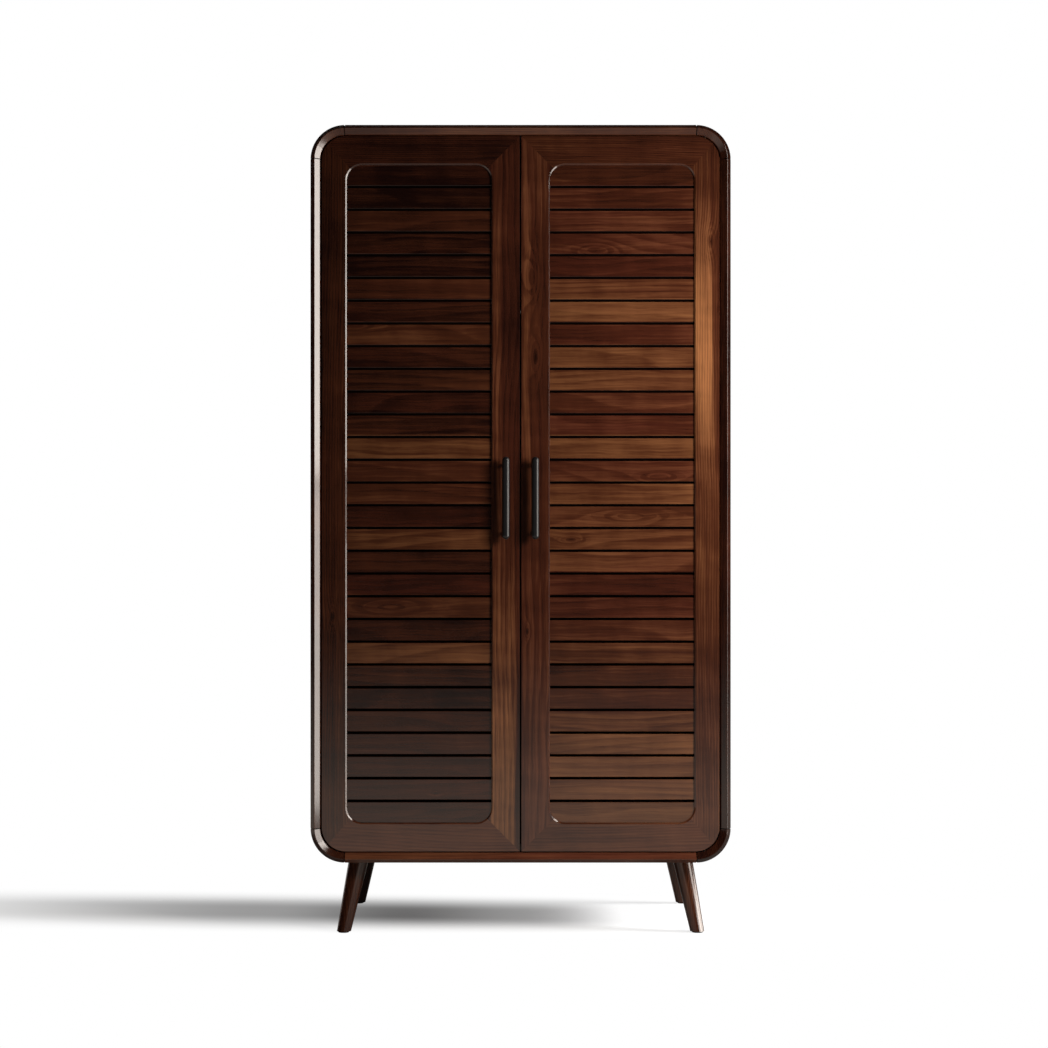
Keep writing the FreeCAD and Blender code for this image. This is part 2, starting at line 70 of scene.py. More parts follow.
# Finish of each stile: tone and hue
STILES = {
    "left_outer": (0.22, 0.42),
    "left_inner": (0.32, 0.22),
    "right_inner": (0.42, 0.30),
    "right_outer": (0.44, 0.36),
}
# Lighter strips along a stile: left and right edge, height of the middle, reach and strength.
# The strips across a whole stile low down are partly the wood's own figure and partly painted
# light from the floor; the right outer stile's strip at 1.42 m is partly figure and partly a
# painted glow of the lamps on the right.
STRIPS = {
    "left_outer": [(-0.440, -0.405, 0.50, 0.9, 0.14), (-0.500, -0.400, 0.35, 0.55, 0.22)],
    "left_inner": [(-0.070, -0.046, 1.5, 0.5, 0.28), (-0.072, -0.012, 0.22, 0.50, 0.95)],
    "right_inner": [
        (0.004, 0.024, 1.5, 0.6, 0.20),
        (0.000, 0.072, 0.25, 0.4, 0.18),
        (0.030, 0.070, 1.85, 0.2, 0.20),
    ],
    "right_outer": [(0.408, 0.456, 1.42, 0.28, 0.62), (0.400, 0.500, 0.25, 0.3, 0.22)],
}
# Knots in the grain: place along it and across it, radius, length over width and darkness
KNOTS = {
    "left_outer": [(0.757, -0.447, 0.009, 2.4, 0.45)],
    "left_inner": [],
    "right_inner": [
        (1.375, 0.036, 0.010, 3.0, 0.40),
        (1.565, 0.026, 0.013, 3.0, 0.15),
        (0.722, 0.016, 0.006, 2.4, 0.45),
    ],
    "right_outer": [(1.650, 0.452, 0.011, 2.4, 0.50)],
    "left_slats": [
        (-0.309, 0.779, 0.012, 4.5, 0.05),
        (-0.202, 0.337, 0.005, 1.6, 0.45),
        (-0.400, 1.450, 0.011, 4.0, 0.10),
    ],
    "right_slats": [
        (0.180, 1.630, 0.012, 3.0, 0.30),
        (0.262, 0.996, 0.011, 5.0, 0.05),
        (0.120, 0.940, 0.007, 3.0, 0.30),
        (0.330, 1.090, 0.009, 4.0, 0.10),
    ],
}

# Patterns of the grain: how often each changes in a metre along the board and across it
RIPPLE_RATES = (6, 40)
FIGURE_RATES = (2.2, 14)
WOBBLE_RATES = (8, 12)
CURL_RATES = (16, 9)
WANDER_RATES = (1.3, 3)
STRIP_EDGE_RATES = (2.1, 8)
STREAK_RATE = 3.2
FIBRE_RATE = 14
PORE_RATE = 34
PORES_PER_FIBRE = 2.2
CURL_SLANT = 5 / 9

# Share of each pattern in the tone of the wood
STREAK_SHARE = 0.60
FIBRE_SHARE = 0.42
FIGURE_SHARE = 0.70
CURL_SHARE = 0.40
LATE_RING_SHARE = 0.55
LATE_RING_MEAN = 0.26
PORE_SHARE = 0.08
STRIP_CONTRAST = 1.4
STREAK_HUE_SHARE = 0.9

# The log that a board is cut from: where its pith lies beside and behind the face, and its sway
PITH_SPREAD = 300 * MM
PITH_DEPTH = 60 * MM
BOARD_PITH_SPREAD = 160 * MM
BOARD_PITH_DEPTH = 10 * MM
BOARD_PITH_DEPTH_SPREAD = 120 * MM
PITH_SWAY = 50 * MM
PITH_DEPTH_SWAY = 40 * MM
GRAIN_LEAN = 14 * MM
RING_RIPPLE = 0.45

# Places of the heartwood, the middle tone, the light tone and a painted glint above it on the ramp
TONE_STOPS = (0.0, 0.35, 0.7, 1.0)
TONE_SCALE = 0.7
PAINTED_GLINT_SHARE = 1.6

# Lamps of the studio: place, aim, watts, colour, width and height
WARM = (1.0, 0.93, 0.86)
PLAIN = (1.0, 1.0, 1.0)
LAMPS = {
    "side_upper": ((1.60, -0.70, 1.90), (0, -0.70, 1.90), 19, WARM, 0.60, 1.4),
    "side_lower": ((1.60, -0.70, 0.62), (0, -0.70, 0.62), 9, WARM, 0.60, 1.1),
    "front_key": ((1.02, -1.22, 1.40), (0.20, -0.27, 1.0), 22, WARM, 0.50, 0.6),
    "grip_strip": ((1.40, -1.05, 1.15), (0, -0.27, 1.04), 8, WARM, 1.1, 0.9),
    "leg_strip": ((1.30, -0.65, 0.11), (0, -0.65, 0.11), 7.5, WARM, 1.9, 0.2),
    "back_left": ((-3.0, 2.6, 2.0), (0, 0, 1.0), 130, PLAIN, 1.6, 2.0),
    "back_right": ((2.4, 3.4, 2.2), (0, 0, 1.0), 90, PLAIN, 1.6, 2.0),
}


class Socket:
    """An output of a shader node that can be used in arithmetic."""

    def __init__(self, tree, socket):
        self.tree = tree
        self.socket = socket

    def math(self, operation, *others):
        values = dict(enumerate((self,) + others))
        return self.tree.node("ShaderNodeMath", {"operation": operation}, values)

    def fading(self, rate):
        """Falls from 1 towards 0 as the value grows."""
        return (self * -rate).math("EXPONENT")

    def __add__(self, other):
        return self.math("ADD", other)

    def __radd__(self, other):
        return self.math("ADD", other)

    def __sub__(self, other):
        return self.math("SUBTRACT", other)

    def __rsub__(self, other):
        return self.tree.node("ShaderNodeMath", {"operation": "SUBTRACT"}, {0: other, 1: self})

    def __mul__(self, other):
        return self.math("MULTIPLY", other)

    def __rmul__(self, other):
        return self.math("MULTIPLY", other)

    def __truediv__(self, other):
        return self.math("DIVIDE", other)

    def __pow__(self, other):
        return self.math("POWER", other)


class Tree:
    """A node tree of a material or of the world."""

    def __init__(self, owner):
        owner.use_nodes = True
        self.tree = owner.node_tree
        self.tree.nodes.clear()

    def node(self, kind, settings=None, sockets=None, out=0):
        """Adds a node: its settings first, then the values or links of its sockets."""
        node = self.tree.nodes.new(kind)
        for name, value in (settings or {}).items():
            if name == "stops":
                self.set_stops(node.color_ramp, *value)
            else:
                setattr(node, name, value)
        for name, value in (sockets or {}).items():
            if isinstance(value, Socket):
                self.tree.links.new(value.socket, node.inputs[name])
            else:
                node.inputs[name].default_value = value
        return Socket(self, node.outputs[out]) if node.outputs else None

    @staticmethod
    def set_stops(ramp, stops, interpolation):
        ramp.interpolation = interpolation
        while len(ramp.elements) < len(stops):
            ramp.elements.new(1)
        for element, (position, color) in zip(ramp.elements, stops):
            element.position = position
            element.color = (*color, 1)

    def ramp(self, value, stops, interpolation="LINEAR"):
        """A colour ramp, or a steady change between values where the stops are greys."""
        return self.node("ShaderNodeValToRGB", {"stops": (stops, interpolation)}, {0: value})

    def mix(self, factor, first, second):
        """Mixes two colours."""
        colors = [value if isinstance(value, Socket) else (*value, 1) for value in (first, second)]
        sockets = {0: factor, 6: colors[0], 7: colors[1]}
        return self.node("ShaderNodeMix", {"data_type": "RGBA"}, sockets, out=2)

    def step(self, value, low, high):
        """A soft step from 0 to 1 between two values."""
        settings = {"interpolation_type": "SMOOTHSTEP"}
        return self.node("ShaderNodeMapRange", settings, {0: value, 1: low, 2: high})

    def band(self, value, low, high, edge):
        """1 between two values and 0 outside them, with soft edges."""
        return self.step(value, low - edge, low + edge) - self.step(value, high - edge, high + edge)

    def parts(self, kind, value):
        """The three outputs of a node that takes a colour or a vector apart."""
        separate = self.node(kind, None, {0: value}).socket.node
        return [Socket(self, output) for output in separate.outputs]

    def position(self):
        """The place of a point in the object's own frame, as X, Y and Z sockets."""
        return self.parts("ShaderNodeSeparateXYZ", self.node("ShaderNodeTexCoord", out="Object"))

    def rays(self):
        """Whether a ray comes from the camera, and whether from a shiny or a clear surface."""
        camera = self.node("ShaderNodeLightPath", out="Is Camera Ray")
        glossy = self.node("ShaderNodeLightPath", out="Is Glossy Ray")
        clear = self.node("ShaderNodeLightPath", out="Is Transmission Ray")
        return camera, (glossy + clear).math("MINIMUM", 1)

    def vector(self, x, y, z):
        return self.node("ShaderNodeCombineXYZ", None, {0: x, 1: y, 2: z})

    def noise(self, vector, detail=2, roughness=0.5, distortion=0, out=0):
        settings = {"noise_dimensions": "3D"}
        sockets = {
            "Vector": vector,
            "Scale": 1,
            "Detail": detail,
            "Roughness": roughness,
            "Distortion": distortion,
        }
        return self.node("ShaderNodeTexNoise", settings, sockets, out=out)

    def speckle(self, rate, **settings):
        """Noise that changes equally often each way, so many times in a metre."""
        return self.noise(self.vector(*[axis * rate for axis in self.position()]), **settings)

    def surface(self, color, roughness, bump, depth, **constants):
        """Ends the tree in a principled shader; the constants are set on its own sockets."""
        relief = {"Strength": 1, "Distance": depth, "Height": bump}
        sockets = {
            "Base Color": color,
            "Roughness": roughness,
            "Normal": self.node("ShaderNodeBump", None, relief),
        }
        for name, value in constants.items():
            sockets[name.replace("_", " ").title().replace("Ior", "IOR")] = value
        shader = self.node("ShaderNodeBsdfPrincipled", None, sockets)
        self.node("ShaderNodeOutputMaterial", None, {"Surface": shader})


def new_material(name):
    material = bpy.data.materials.new(name)
    return material, Tree(material)


class WardrobeSizes(bpy.types.PropertyGroup):
    """Sizes of the grain, of the small fastenings and of the studio."""

    ring_spacing: bpy.props.FloatProperty(
        name="Ring spacing", description="Distance between two growth rings on the face of a board",
        default=5.0 * MM, unit="LENGTH")
    streak_width: bpy.props.FloatProperty(
        name="Streak width", description="Width of the dark streaks that run along the grain",
        default=7 * MM, unit="LENGTH")
    fibre_width: bpy.props.FloatProperty(
        name="Fibre width", description="Width of the fine fibres and pores",
        default=2.6 * MM, unit="LENGTH")
    screw_radius: bpy.props.FloatProperty(
        name="Screw head radius", description="Radius of the heads of the small screws",
        default=3.4 * MM, unit="LENGTH")
    bumper_radius: bpy.props.FloatProperty(
        name="Bumper radius", description="Radius of the felt dots that the doors close against",
        default=6 * MM, unit="LENGTH")
    camera_distance: bpy.props.FloatProperty(
        name="Camera distance", description="Distance of the camera in front of the carcass edge",
        default=5.0, unit="LENGTH")
    camera_height: bpy.props.FloatProperty(
        name="Camera height", description="Height of the camera above the floor",
        default=0.826, unit="LENGTH")
    floor_radius: bpy.props.FloatProperty(
        name="Floor radius", description="Radius of the round studio floor",
        default=14.0, unit="LENGTH")


class WardrobeColors(bpy.types.PropertyGroup):
    """Colours of the finishes and of the painted shade."""

    heart: bpy.props.FloatVectorProperty(
        name="Heartwood", description="Darkest streaks of the wood", subtype="COLOR",
        default=(0.0125, 0.0036, 0.0024))
    # Painted shade: the near-black colour painted into the grooves, the seams and the edges where the
    # doors meet
    stain: bpy.props.FloatVectorProperty(
        name="Dark stain", description="Grooves, seams and edges between the doors", subtype="COLOR",
        default=(0.0030, 0.0014, 0.0011))
    red: bpy.props.FloatVectorProperty(
        name="Red wood", description="Middle tone of the reddish boards", subtype="COLOR",
        default=(0.060, 0.0143, 0.0073))
    red_light: bpy.props.FloatVectorProperty(
        name="Light red wood", description="Lightest tone of the reddish boards", subtype="COLOR",
        default=(0.160, 0.046, 0.024))
    amber: bpy.props.FloatVectorProperty(
        name="Amber wood", description="Middle tone of the amber boards", subtype="COLOR",
        default=(0.080, 0.0250, 0.0098))
    amber_light: bpy.props.FloatVectorProperty(
        name="Light amber wood", description="Lightest tone of the amber boards", subtype="COLOR",
        default=(0.225, 0.090, 0.035))
    beech: bpy.props.FloatVectorProperty(
        name="Beech", description="Colour of the dowels", subtype="COLOR",
        default=(0.42, 0.24, 0.12))
    black_lacquer: bpy.props.FloatVectorProperty(
        name="Black lacquer", description="Colour of the handles", subtype="COLOR",
        default=(0.009, 0.009, 0.010))
    zinc: bpy.props.FloatVectorProperty(
        name="Zinc", description="Colour of the screws, rods and strike plates", subtype="COLOR",
        default=(0.48, 0.49, 0.50))
    chrome: bpy.props.FloatVectorProperty(
        name="Chrome", description="Colour of the hanging rail", subtype="COLOR",
        default=(0.72, 0.73, 0.75))
    brass: bpy.props.FloatVectorProperty(
        name="Oiled brass", description="Colour of the darkened pivot bushes", subtype="COLOR",
        default=(0.060, 0.040, 0.022))
    plastic: bpy.props.FloatVectorProperty(
        name="Black plastic", description="Colour of the catches and glides", subtype="COLOR",
        default=(0.014, 0.014, 0.015))
    felt: bpy.props.FloatVectorProperty(
        name="Felt", description="Colour of the door bumpers", subtype="COLOR",
        default=(0.06, 0.045, 0.035))


def sizes():
    return bpy.context.scene.wardrobe_sizes


def colors():
    return bpy.context.scene.wardrobe_colors


def shades(color, darker, lighter):
    """A darker and a lighter copy of a colour, to mix between."""
    return [channel * darker for channel in color], [min(channel * lighter, 1) for channel in color]


def painted_glint(color):
    """A painted glint, brighter than a light tone."""
    return [channel * PAINTED_GLINT_SHARE for channel in color]


def pattern(tree, point, seed, along, across, detail=2, roughness=0.5):
    """Noise about 0 that is drawn out along the grain."""
    u, v, w = point
    drawn = tree.vector(u * along + seed, v * across, w * across)
    return tree.noise(drawn, detail, roughness) - 0.5


def knot_marks(knots, u, v, ripple):
    """How far the knots push the rings aside, and how much they and their ovals darken the wood."""
    ovals_per_radius = 1.7
    oval_ripple = 0.9
    oval_mean = 0.4
    oval_darkness = 0.22
    oval_fading = 0.30
    core_fading = 7.0
    swell_fading = 0.45
    swell_share = 0.9
    swell = 0
    dark = 0
    for knot_u, knot_v, radius, stretch, darkness in knots:
        far_u = (u - knot_u) / (radius * stretch)
        far_v = (v - knot_v) / radius
        far = far_u * far_u + far_v * far_v
        ovals = ((far ** 0.5) * ovals_per_radius + ripple * oval_ripple).math("FRACT") - oval_mean
        swell = swell + far.fading(swell_fading) * (radius * swell_share)
        dark = dark + far.fading(core_fading) * darkness
        dark = dark + ovals * far.fading(oval_fading) * oval_darkness
    return swell, dark


def painted_shade_mask(tree, place, painted_shade_parts):
    """Mask of painted shade: 1 between the two values of an axis that bound each shaded part."""
    soft_edge = 0.15 * MM
    stain = 0
    for axis, low, high in painted_shade_parts:
        stain = stain + tree.band(place[AXES.index(axis)], low, high, soft_edge)
    return stain


def light_strips(tree, strips, u, v, seed):
    """How much lighter the strips along a board make it, with edges that follow the grain."""
    soft_edge = 5 * MM
    edge_sway = 30 * MM
    light = 0
    for low, high, middle, reach, strength in strips:
        bend = pattern(tree, (u, v, 0), seed, *STRIP_EDGE_RATES, detail=3) * edge_sway
        away = (u - middle) / reach
        light = light + tree.band(v + bend, low, high, soft_edge) * (away * away).fading(1) * strength
    return light


def separate_boards(tree, boards, u, v, seed):
    """Gives each board of a row its own tone and hue and a place in a log of its own."""
    tone_spread = 0.06
    log_spacing = 9
    row_spacing = 3
    low, high, order = boards
    row = reversed(order)
    stops = [(n / len(order), (*BOARD_SHARES[letter], 0)) for n, letter in enumerate(row)]
    finish = tree.ramp((v - low) / (high - low), stops, "CONSTANT")
    tone, hue, spare = tree.parts("ShaderNodeSeparateColor", finish)
    pitch = (high - low) / len(order)
    index = ((v - low) / pitch).math("FLOOR")
    chance = tree.node("ShaderNodeTexWhiteNoise", {"noise_dimensions": "1D"}, {"W": index + seed}, out=1)
    picks = tree.parts("ShaderNodeSeparateColor", chance)
    tone = tone + (picks[2] - 0.5) * tone_spread
    shift = picks[0] * row_spacing
    board_u = u + picks[2] * log_spacing + seed
    board_v = v - low - index * pitch + shift
    pith_v = (picks[0] - 0.5) * BOARD_PITH_SPREAD + shift
    pith_w = picks[1] * BOARD_PITH_DEPTH_SPREAD + BOARD_PITH_DEPTH
    return tone, hue, board_u, board_v, pith_v, pith_w


def wood(name, along, across, tone=0.45, hue=0.5, seed=0.0, boards=None, gloss=1.0, strips=(), knots=(),
         painted_shade_parts=()):
    """Lacquered dark wood with its grain along one axis.

    Tone goes from dark to light and hue from purple red to amber, and the seed picks the log.
    Growth rings are circles about a pith line that wanders beside the board, so a board cut near
    the pith shows arches and one cut far from it shows straight lines. A strip is a lighter band
    along the board; some strips are partly painted light. A knot bends the grain round it and has
    ovals about it. A part with painted shade lies between two values of one axis and is dark and
    matt, a painted shade in grooves, seams and gaps.
    """
    material, tree = new_material(name)
    size = sizes()
    paint = colors()
    place = tree.position()
    through = (set(AXES) - {along, across}).pop()
    u, v, w = [place[AXES.index(axis)] for axis in (along, across, through)]

    ripple = pattern(tree, (u, v, w), seed, *RIPPLE_RATES)
    swell, knot_dark = knot_marks(knots, u, v, ripple)
    stain = painted_shade_mask(tree, place, painted_shade_parts)
    light = light_strips(tree, strips, u, v, seed)
    pith_v = (seed * 7.3 % 1 - 0.5) * PITH_SPREAD
    pith_w = PITH_DEPTH
    if boards:
        board_tone, hue, u, v, pith_v, pith_w = separate_boards(tree, boards, u, v, seed)
        tone = board_tone + tone

    wander = tree.vector(u * WANDER_RATES[0] + seed * 3, v * WANDER_RATES[1], w * WANDER_RATES[1])
    wander = tree.noise(wander, detail=1, out="Color")
    sway = [channel - 0.5 for channel in tree.parts("ShaderNodeSeparateColor", wander)]
    off_v = v - pith_v + sway[0] * PITH_SWAY
    off_w = w - pith_w + sway[1] * PITH_DEPTH_SWAY
    radius = (off_v * off_v + off_w * off_w) ** 0.5 + swell
    ring = (radius / size.ring_spacing + ripple * RING_RIPPLE).math("FRACT")
    late_ring = (ring ** 2) * (1 - ring ** 12)

    figure = pattern(tree, (u, v, w), seed, *FIGURE_RATES)
    wobble = pattern(tree, (u, v, w), seed, *WOBBLE_RATES)
    curl = pattern(tree, (u, v + u * CURL_SLANT, w), seed, *CURL_RATES)
    leaning = (u, v + swell + (sway[0] + wobble) * GRAIN_LEAN, w)
    streak = pattern(tree, leaning, seed, STREAK_RATE, 1 / size.streak_width, 3, 0.6)
    fibre = pattern(tree, leaning, seed, FIBRE_RATE, 1 / size.fibre_width, 3, 0.7)
    pore = pattern(tree, (u, v, w), seed, PORE_RATE, PORES_PER_FIBRE / size.fibre_width, 1)
    pores = tree.ramp(pore + 0.5, [(0.60, (0, 0, 0)), (0.72, (1, 1, 1))])
    grain = streak * STREAK_SHARE + fibre * FIBRE_SHARE + figure * FIGURE_SHARE + curl * CURL_SHARE
    grain = grain - (late_ring - LATE_RING_MEAN) * (figure + 0.5) * LATE_RING_SHARE - pores * PORE_SHARE

    value = (grain * (light * STRIP_CONTRAST + 1) + tone + light - knot_dark) * TONE_SCALE
    reds, ambers = [
        tree.ramp(value, list(zip(TONE_STOPS, (paint.heart, middle, light_tone, painted_glint(light_tone)))))
        for middle, light_tone in ((paint.red, paint.red_light), (paint.amber, paint.amber_light))
    ]
    tint = (sway[2] + streak * STREAK_HUE_SHARE + light + hue).math("MAXIMUM", 0).math("MINIMUM", 1)
    color = tree.mix(stain, tree.mix(tint, reds, ambers), paint.stain)
    rough = fibre * 0.12 + pores * 0.10 + stain * 0.6 + 0.30
    tree.surface(
        color, rough, fibre * 0.4 - pores * 0.6, 0.1 * MM,
        ior=1.45, specular_ior_level=0.15,
        coat_weight=(1 - stain) * gloss, coat_roughness=0.12, coat_ior=1.8)
    return material


def plain_beech(name, color):
    """Pale unfinished wood with small flecks."""
    material, tree = new_material(name)
    fleck = tree.speckle(700)
    tree.surface(tree.mix(fleck, *shades(color, 0.8, 1.15)), 0.6, fleck, 0.1 * MM)
    return material


def metal(name, color, roughness, brush="Z", metallic=1.0, coat=0.0):
    """Metal with fine lines along one axis and slightly uneven gloss."""
    across_rate = 900
    along_rate = 14
    material, tree = new_material(name)
    rates = [along_rate if axis == brush else across_rate for axis in AXES]
    lines = tree.noise(tree.vector(*[axis * rate for axis, rate in zip(tree.position(), rates)]))
    cloud = tree.speckle(25)
    uneven = (lines - 0.5) * 0.25 + (cloud - 0.5) * 0.3 + 0.5
    shade = tree.mix(uneven, *shades(color, 0.82, 1.15))
    rough = (lines - 0.5) * 0.14 + (cloud - 0.5) * 0.10 + roughness
    tree.surface(shade, rough, lines, 0.02 * MM, metallic=metallic, coat_weight=coat, coat_roughness=0.2)
    return material


def moulded(name, color, roughness):
    """Moulded plastic with a fine even texture."""
    material, tree = new_material(name)
    grit = tree.speckle(1600)
    cloud = tree.speckle(40)
    shade = tree.mix(cloud, *shades(color, 0.8, 1.3))
    tree.surface(shade, (cloud - 0.5) * 0.15 + roughness, grit, 0.03 * MM, specular_ior_level=0.4)
    return material


def felted(name, color):
    """Pressed felt."""
    material, tree = new_material(name)
    hair = tree.speckle(2600, detail=3, roughness=0.7, distortion=1.5)
    tree.surface(tree.mix(hair, *shades(color, 0.55, 1.6)), 0.95, hair, 0.2 * MM, specular_ior_level=0.1)
    return material


def dress(material, *names):
    """Gives CAD nodes a material."""
    for name in names:
        for slot in NODES[name].material_slots:
            slot.material = material


class WARDROBE_OT_carcass(bpy.types.Operator):
    """Finish the panels, the corner blocks and the back."""

    bl_idname = "wardrobe.carcass"
    bl_label = "Carcass wood"

    def execute(self, context):
        half_seam = 2 * MM
        dress(wood("top_wood", "X", "Y", 0.52, 0.40, 3.1), "top_panel")
        # The bottom panel's light tone is partly painted light from the floor below
        dress(wood("bottom_wood", "X", "Y", 0.98, 0.25, 5.7), "bottom_panel")
        for n, (side, sign) in enumerate(SIDES):
            # The right side and its corner blocks are darker as painted shade on the inner face of the
            # right edge, which faces away from the lamps
            tone = 0.33 - 0.11 * sign
            dress(wood(side + "_side_wood", "Z", "Y", tone, 0.40, 8.3 + n), side + "_side_panel")
            for m, end in enumerate(("top", "bottom")):
                block = end + "_" + side + "_corner_block"
                low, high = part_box(block)
                seam_x = high.x if sign < 0 else low.x
                seam_z = low.z if end == "top" else high.z
                # The seam grooves of the corner blocks get painted shade: dark and matt
                seams = [
                    ("X", seam_x - half_seam, seam_x + half_seam),
                    ("Z", seam_z - half_seam, seam_z + half_seam),
                ]
                name = side + "_" + end + "_corner_wood"
                dress(wood(name, "Z", "X", tone, 0.35, 11.9 + n * 2 + m, painted_shade_parts=seams), block)
        dress(wood("back_wood", "Z", "X", 0.50, 0.60, 17.3, gloss=0.15), "back_panel")
        return {"FINISHED"}


class WARDROBE_OT_doors(bpy.types.Operator):
    """Finish the door frames, the slats and the panels behind them."""

    bl_idname = "wardrobe.doors"
    bl_label = "Door wood"

    def execute(self, context):
        for n, (side, sign) in enumerate(SIDES):
            seed = 21.7 + 10 * n
            self.door_frame(side, sign, n, seed)
            self.door_filling(side, sign, seed)
        return {"FINISHED"}

    def door_frame(self, side, sign, n, seed):
        """Finish the stiles, with painted shade where the doors meet, and the rails."""
        door = side + "_door_"
        low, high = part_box(door + "inner_stile")
        meeting_x = high.x if sign < 0 else low.x
        half_edge = 0.5 * MM
        # The edge where the two doors meet gets painted shade: dark and matt
        meeting = ("X", meeting_x - half_edge, meeting_x + half_edge)
        for part, stile_seed, painted_shade_parts in (("outer", seed, ()), ("inner", seed + 1.3, [meeting])):
            stile = side + "_" + part
            tone, hue = STILES[stile]
            finish = wood(
                stile + "_stile_wood", "Z", "X", tone, hue, stile_seed,
                strips=STRIPS[stile], knots=KNOTS[stile], painted_shade_parts=painted_shade_parts)
            dress(finish, door + part + "_stile")
        top = wood(side + "_top_rail_wood", "X", "Z", 0.14 + 0.24 * n, 0.30 + 0.10 * n, seed + 2.9)
        dress(top, door + "top_rail")
        dress(wood(side + "_bottom_rail_wood", "X", "Z", 0.72, 0.32, seed + 4.1), door + "bottom_rail")

    def door_filling(self, side, sign, seed):
        """Finish the slats, with painted shade below their faces, and the backing, with painted shade
        where the grooves show it.
        """
        door = side + "_door_"
        under_lip = 5 * MM
        face_depth = 0.7 * MM
        skin = 0.5 * MM
        low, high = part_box(door + "slats")
        boards = (low.z + under_lip, high.z - under_lip, BOARD_ORDER[side])
        # Painted shade: the slats are dark and matt below their faces, in the grooves between them
        grooves = ("Y", low.y + face_depth, high.y - skin)
        slats = wood(
            side + "_slat_wood", "X", "Z", tone=0.06 * sign, seed=seed + 5.3,
            boards=boards, knots=KNOTS[side + "_slats"], painted_shade_parts=[grooves])
        dress(slats, door + "slats")
        low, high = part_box(door + "backing")
        # Painted shade: the backing's front is dark where the grooves show it
        front = ("Y", low.y - 2 * skin, low.y + skin)
        backing = wood(
            side + "_backing_wood", "Z", "X", 0.50, 0.60, seed + 6.1, gloss=0.15, painted_shade_parts=[front])
        dress(backing, door + "backing")


class WARDROBE_OT_interior(bpy.types.Operator):
    """Finish the shelf, the stops, the wall rail and the dowels."""

    bl_idname = "wardrobe.interior"
    bl_label = "Interior wood"

    def execute(self, context):
        dress(wood("shelf_wood", "X", "Y", 0.50, 0.60, 41.3, gloss=0.3), "hat_shelf")
        rails = wood("strip_wood", "X", "Z", 0.45, 0.50, 43.9, gloss=0.3)
        dress(rails, "top_stop_strip", "bottom_stop_strip", "wall_fixing_rail")
        dress(plain_beech("beech_wood", colors().beech), "corner_dowels")
        return {"FINISHED"}


class WARDROBE_OT_legs(bpy.types.Operator):
    """Finish the four legs."""

    bl_idname = "wardrobe.legs"
    bl_label = "Leg wood"

    def execute(self, context):
        for n, end in enumerate(("front", "rear")):
            for m, (side, sign) in enumerate(SIDES):
                leg = end + "_" + side + "_leg"
                dress(wood(leg + "_wood", "Z", "X", 0.50, 0.45, 51.7 + 2 * n + m), leg)
        return {"FINISHED"}


class WARDROBE_OT_fittings(bpy.types.Operator):
    """Finish the handles, the pivots, the catches, the rail and the bolts."""

    bl_idname = "wardrobe.fittings"
    bl_label = "Metal and plastic"

    def execute(self, context):
        paint = colors()
        black = metal("black_lacquer", paint.black_lacquer, 0.34, metallic=0.0, coat=0.3)
        zinc = metal("zinc_plate", paint.zinc, 0.32)
        oxide = metal("black_oxide", [share * 3 for share in paint.black_lacquer], 0.45)
        chrome = metal("polished_chrome", paint.chrome, 0.14, "X")
        brass = metal("oiled_brass", paint.brass, 0.40)
        plastic = moulded("black_plastic", paint.plastic, 0.45)
        for side, sign in SIDES:
            dress(black, side + "_handle_bar", side + "_handle_posts")
            dress(zinc, side + "_handle_screws", side + "_strike_plates")
            dress(oxide, side + "_pivot_pins")
            dress(brass, side + "_pivot_bushes")
            dress(chrome, side + "_rail_socket")
        dress(zinc, "shelf_pins", "leg_bolts", "leg_inserts", "catch_magnets")
        dress(chrome, "hanging_rail")
        dress(plastic, "catch_housings", "foot_glides")
        return {"FINISHED"}


def screw_head(mesh, centre, facing, radius):
    """Adds a domed screw head with a round driver recess, its flat side on a surface."""
    height = radius * 0.55
    dome_bevel = height * 0.6
    recess_edge = radius * 0.28
    recess_taper = radius * 0.04
    recess_depth = height * 0.55
    up = Vector(facing)
    turn = Vector((0, 0, 1)).rotation_difference(up).to_matrix().to_4x4()
    place = Matrix.Translation(centre) @ turn
    made = bmesh.ops.create_cone(
        mesh, cap_ends=True, segments=24, radius1=radius, radius2=radius, depth=height,
        matrix=place @ Matrix.Translation((0, 0, height / 2)))
    faces = {face for vert in made["verts"] for face in vert.link_faces}
    top = max(faces, key=lambda face: face.calc_center_median().dot(up))
    bmesh.ops.bevel(
        mesh, geom=list(top.edges), offset=dome_bevel, affect="EDGES", segments=3, profile=0.5,
        material=-1)
    near = 2 * radius
    faces = {face for face in mesh.faces if (face.calc_center_median() - Vector(centre)).length < near}
    top = max(faces, key=lambda face: (round(face.calc_center_median().dot(up), 7), face.calc_area()))
    bmesh.ops.inset_individual(mesh, faces=[top], thickness=recess_edge, depth=0)
    bmesh.ops.inset_individual(mesh, faces=[top], thickness=recess_taper, depth=-recess_depth)


def new_piece(name, mesh, body, slot, *materials):
    """Turns a bmesh into a piece that rides on a body."""
    data = bpy.data.meshes.new(name)
    mesh.to_mesh(data)
    mesh.free()
    piece = bpy.data.objects.new(name, data)
    bpy.context.scene.collection.objects.link(piece)
    for material in materials:
        data.materials.append(material)
    for polygon in data.polygons:
        polygon.use_smooth = True
    data.set_sharp_from_angle(angle=radians(35))
    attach(piece, body)
    return piece


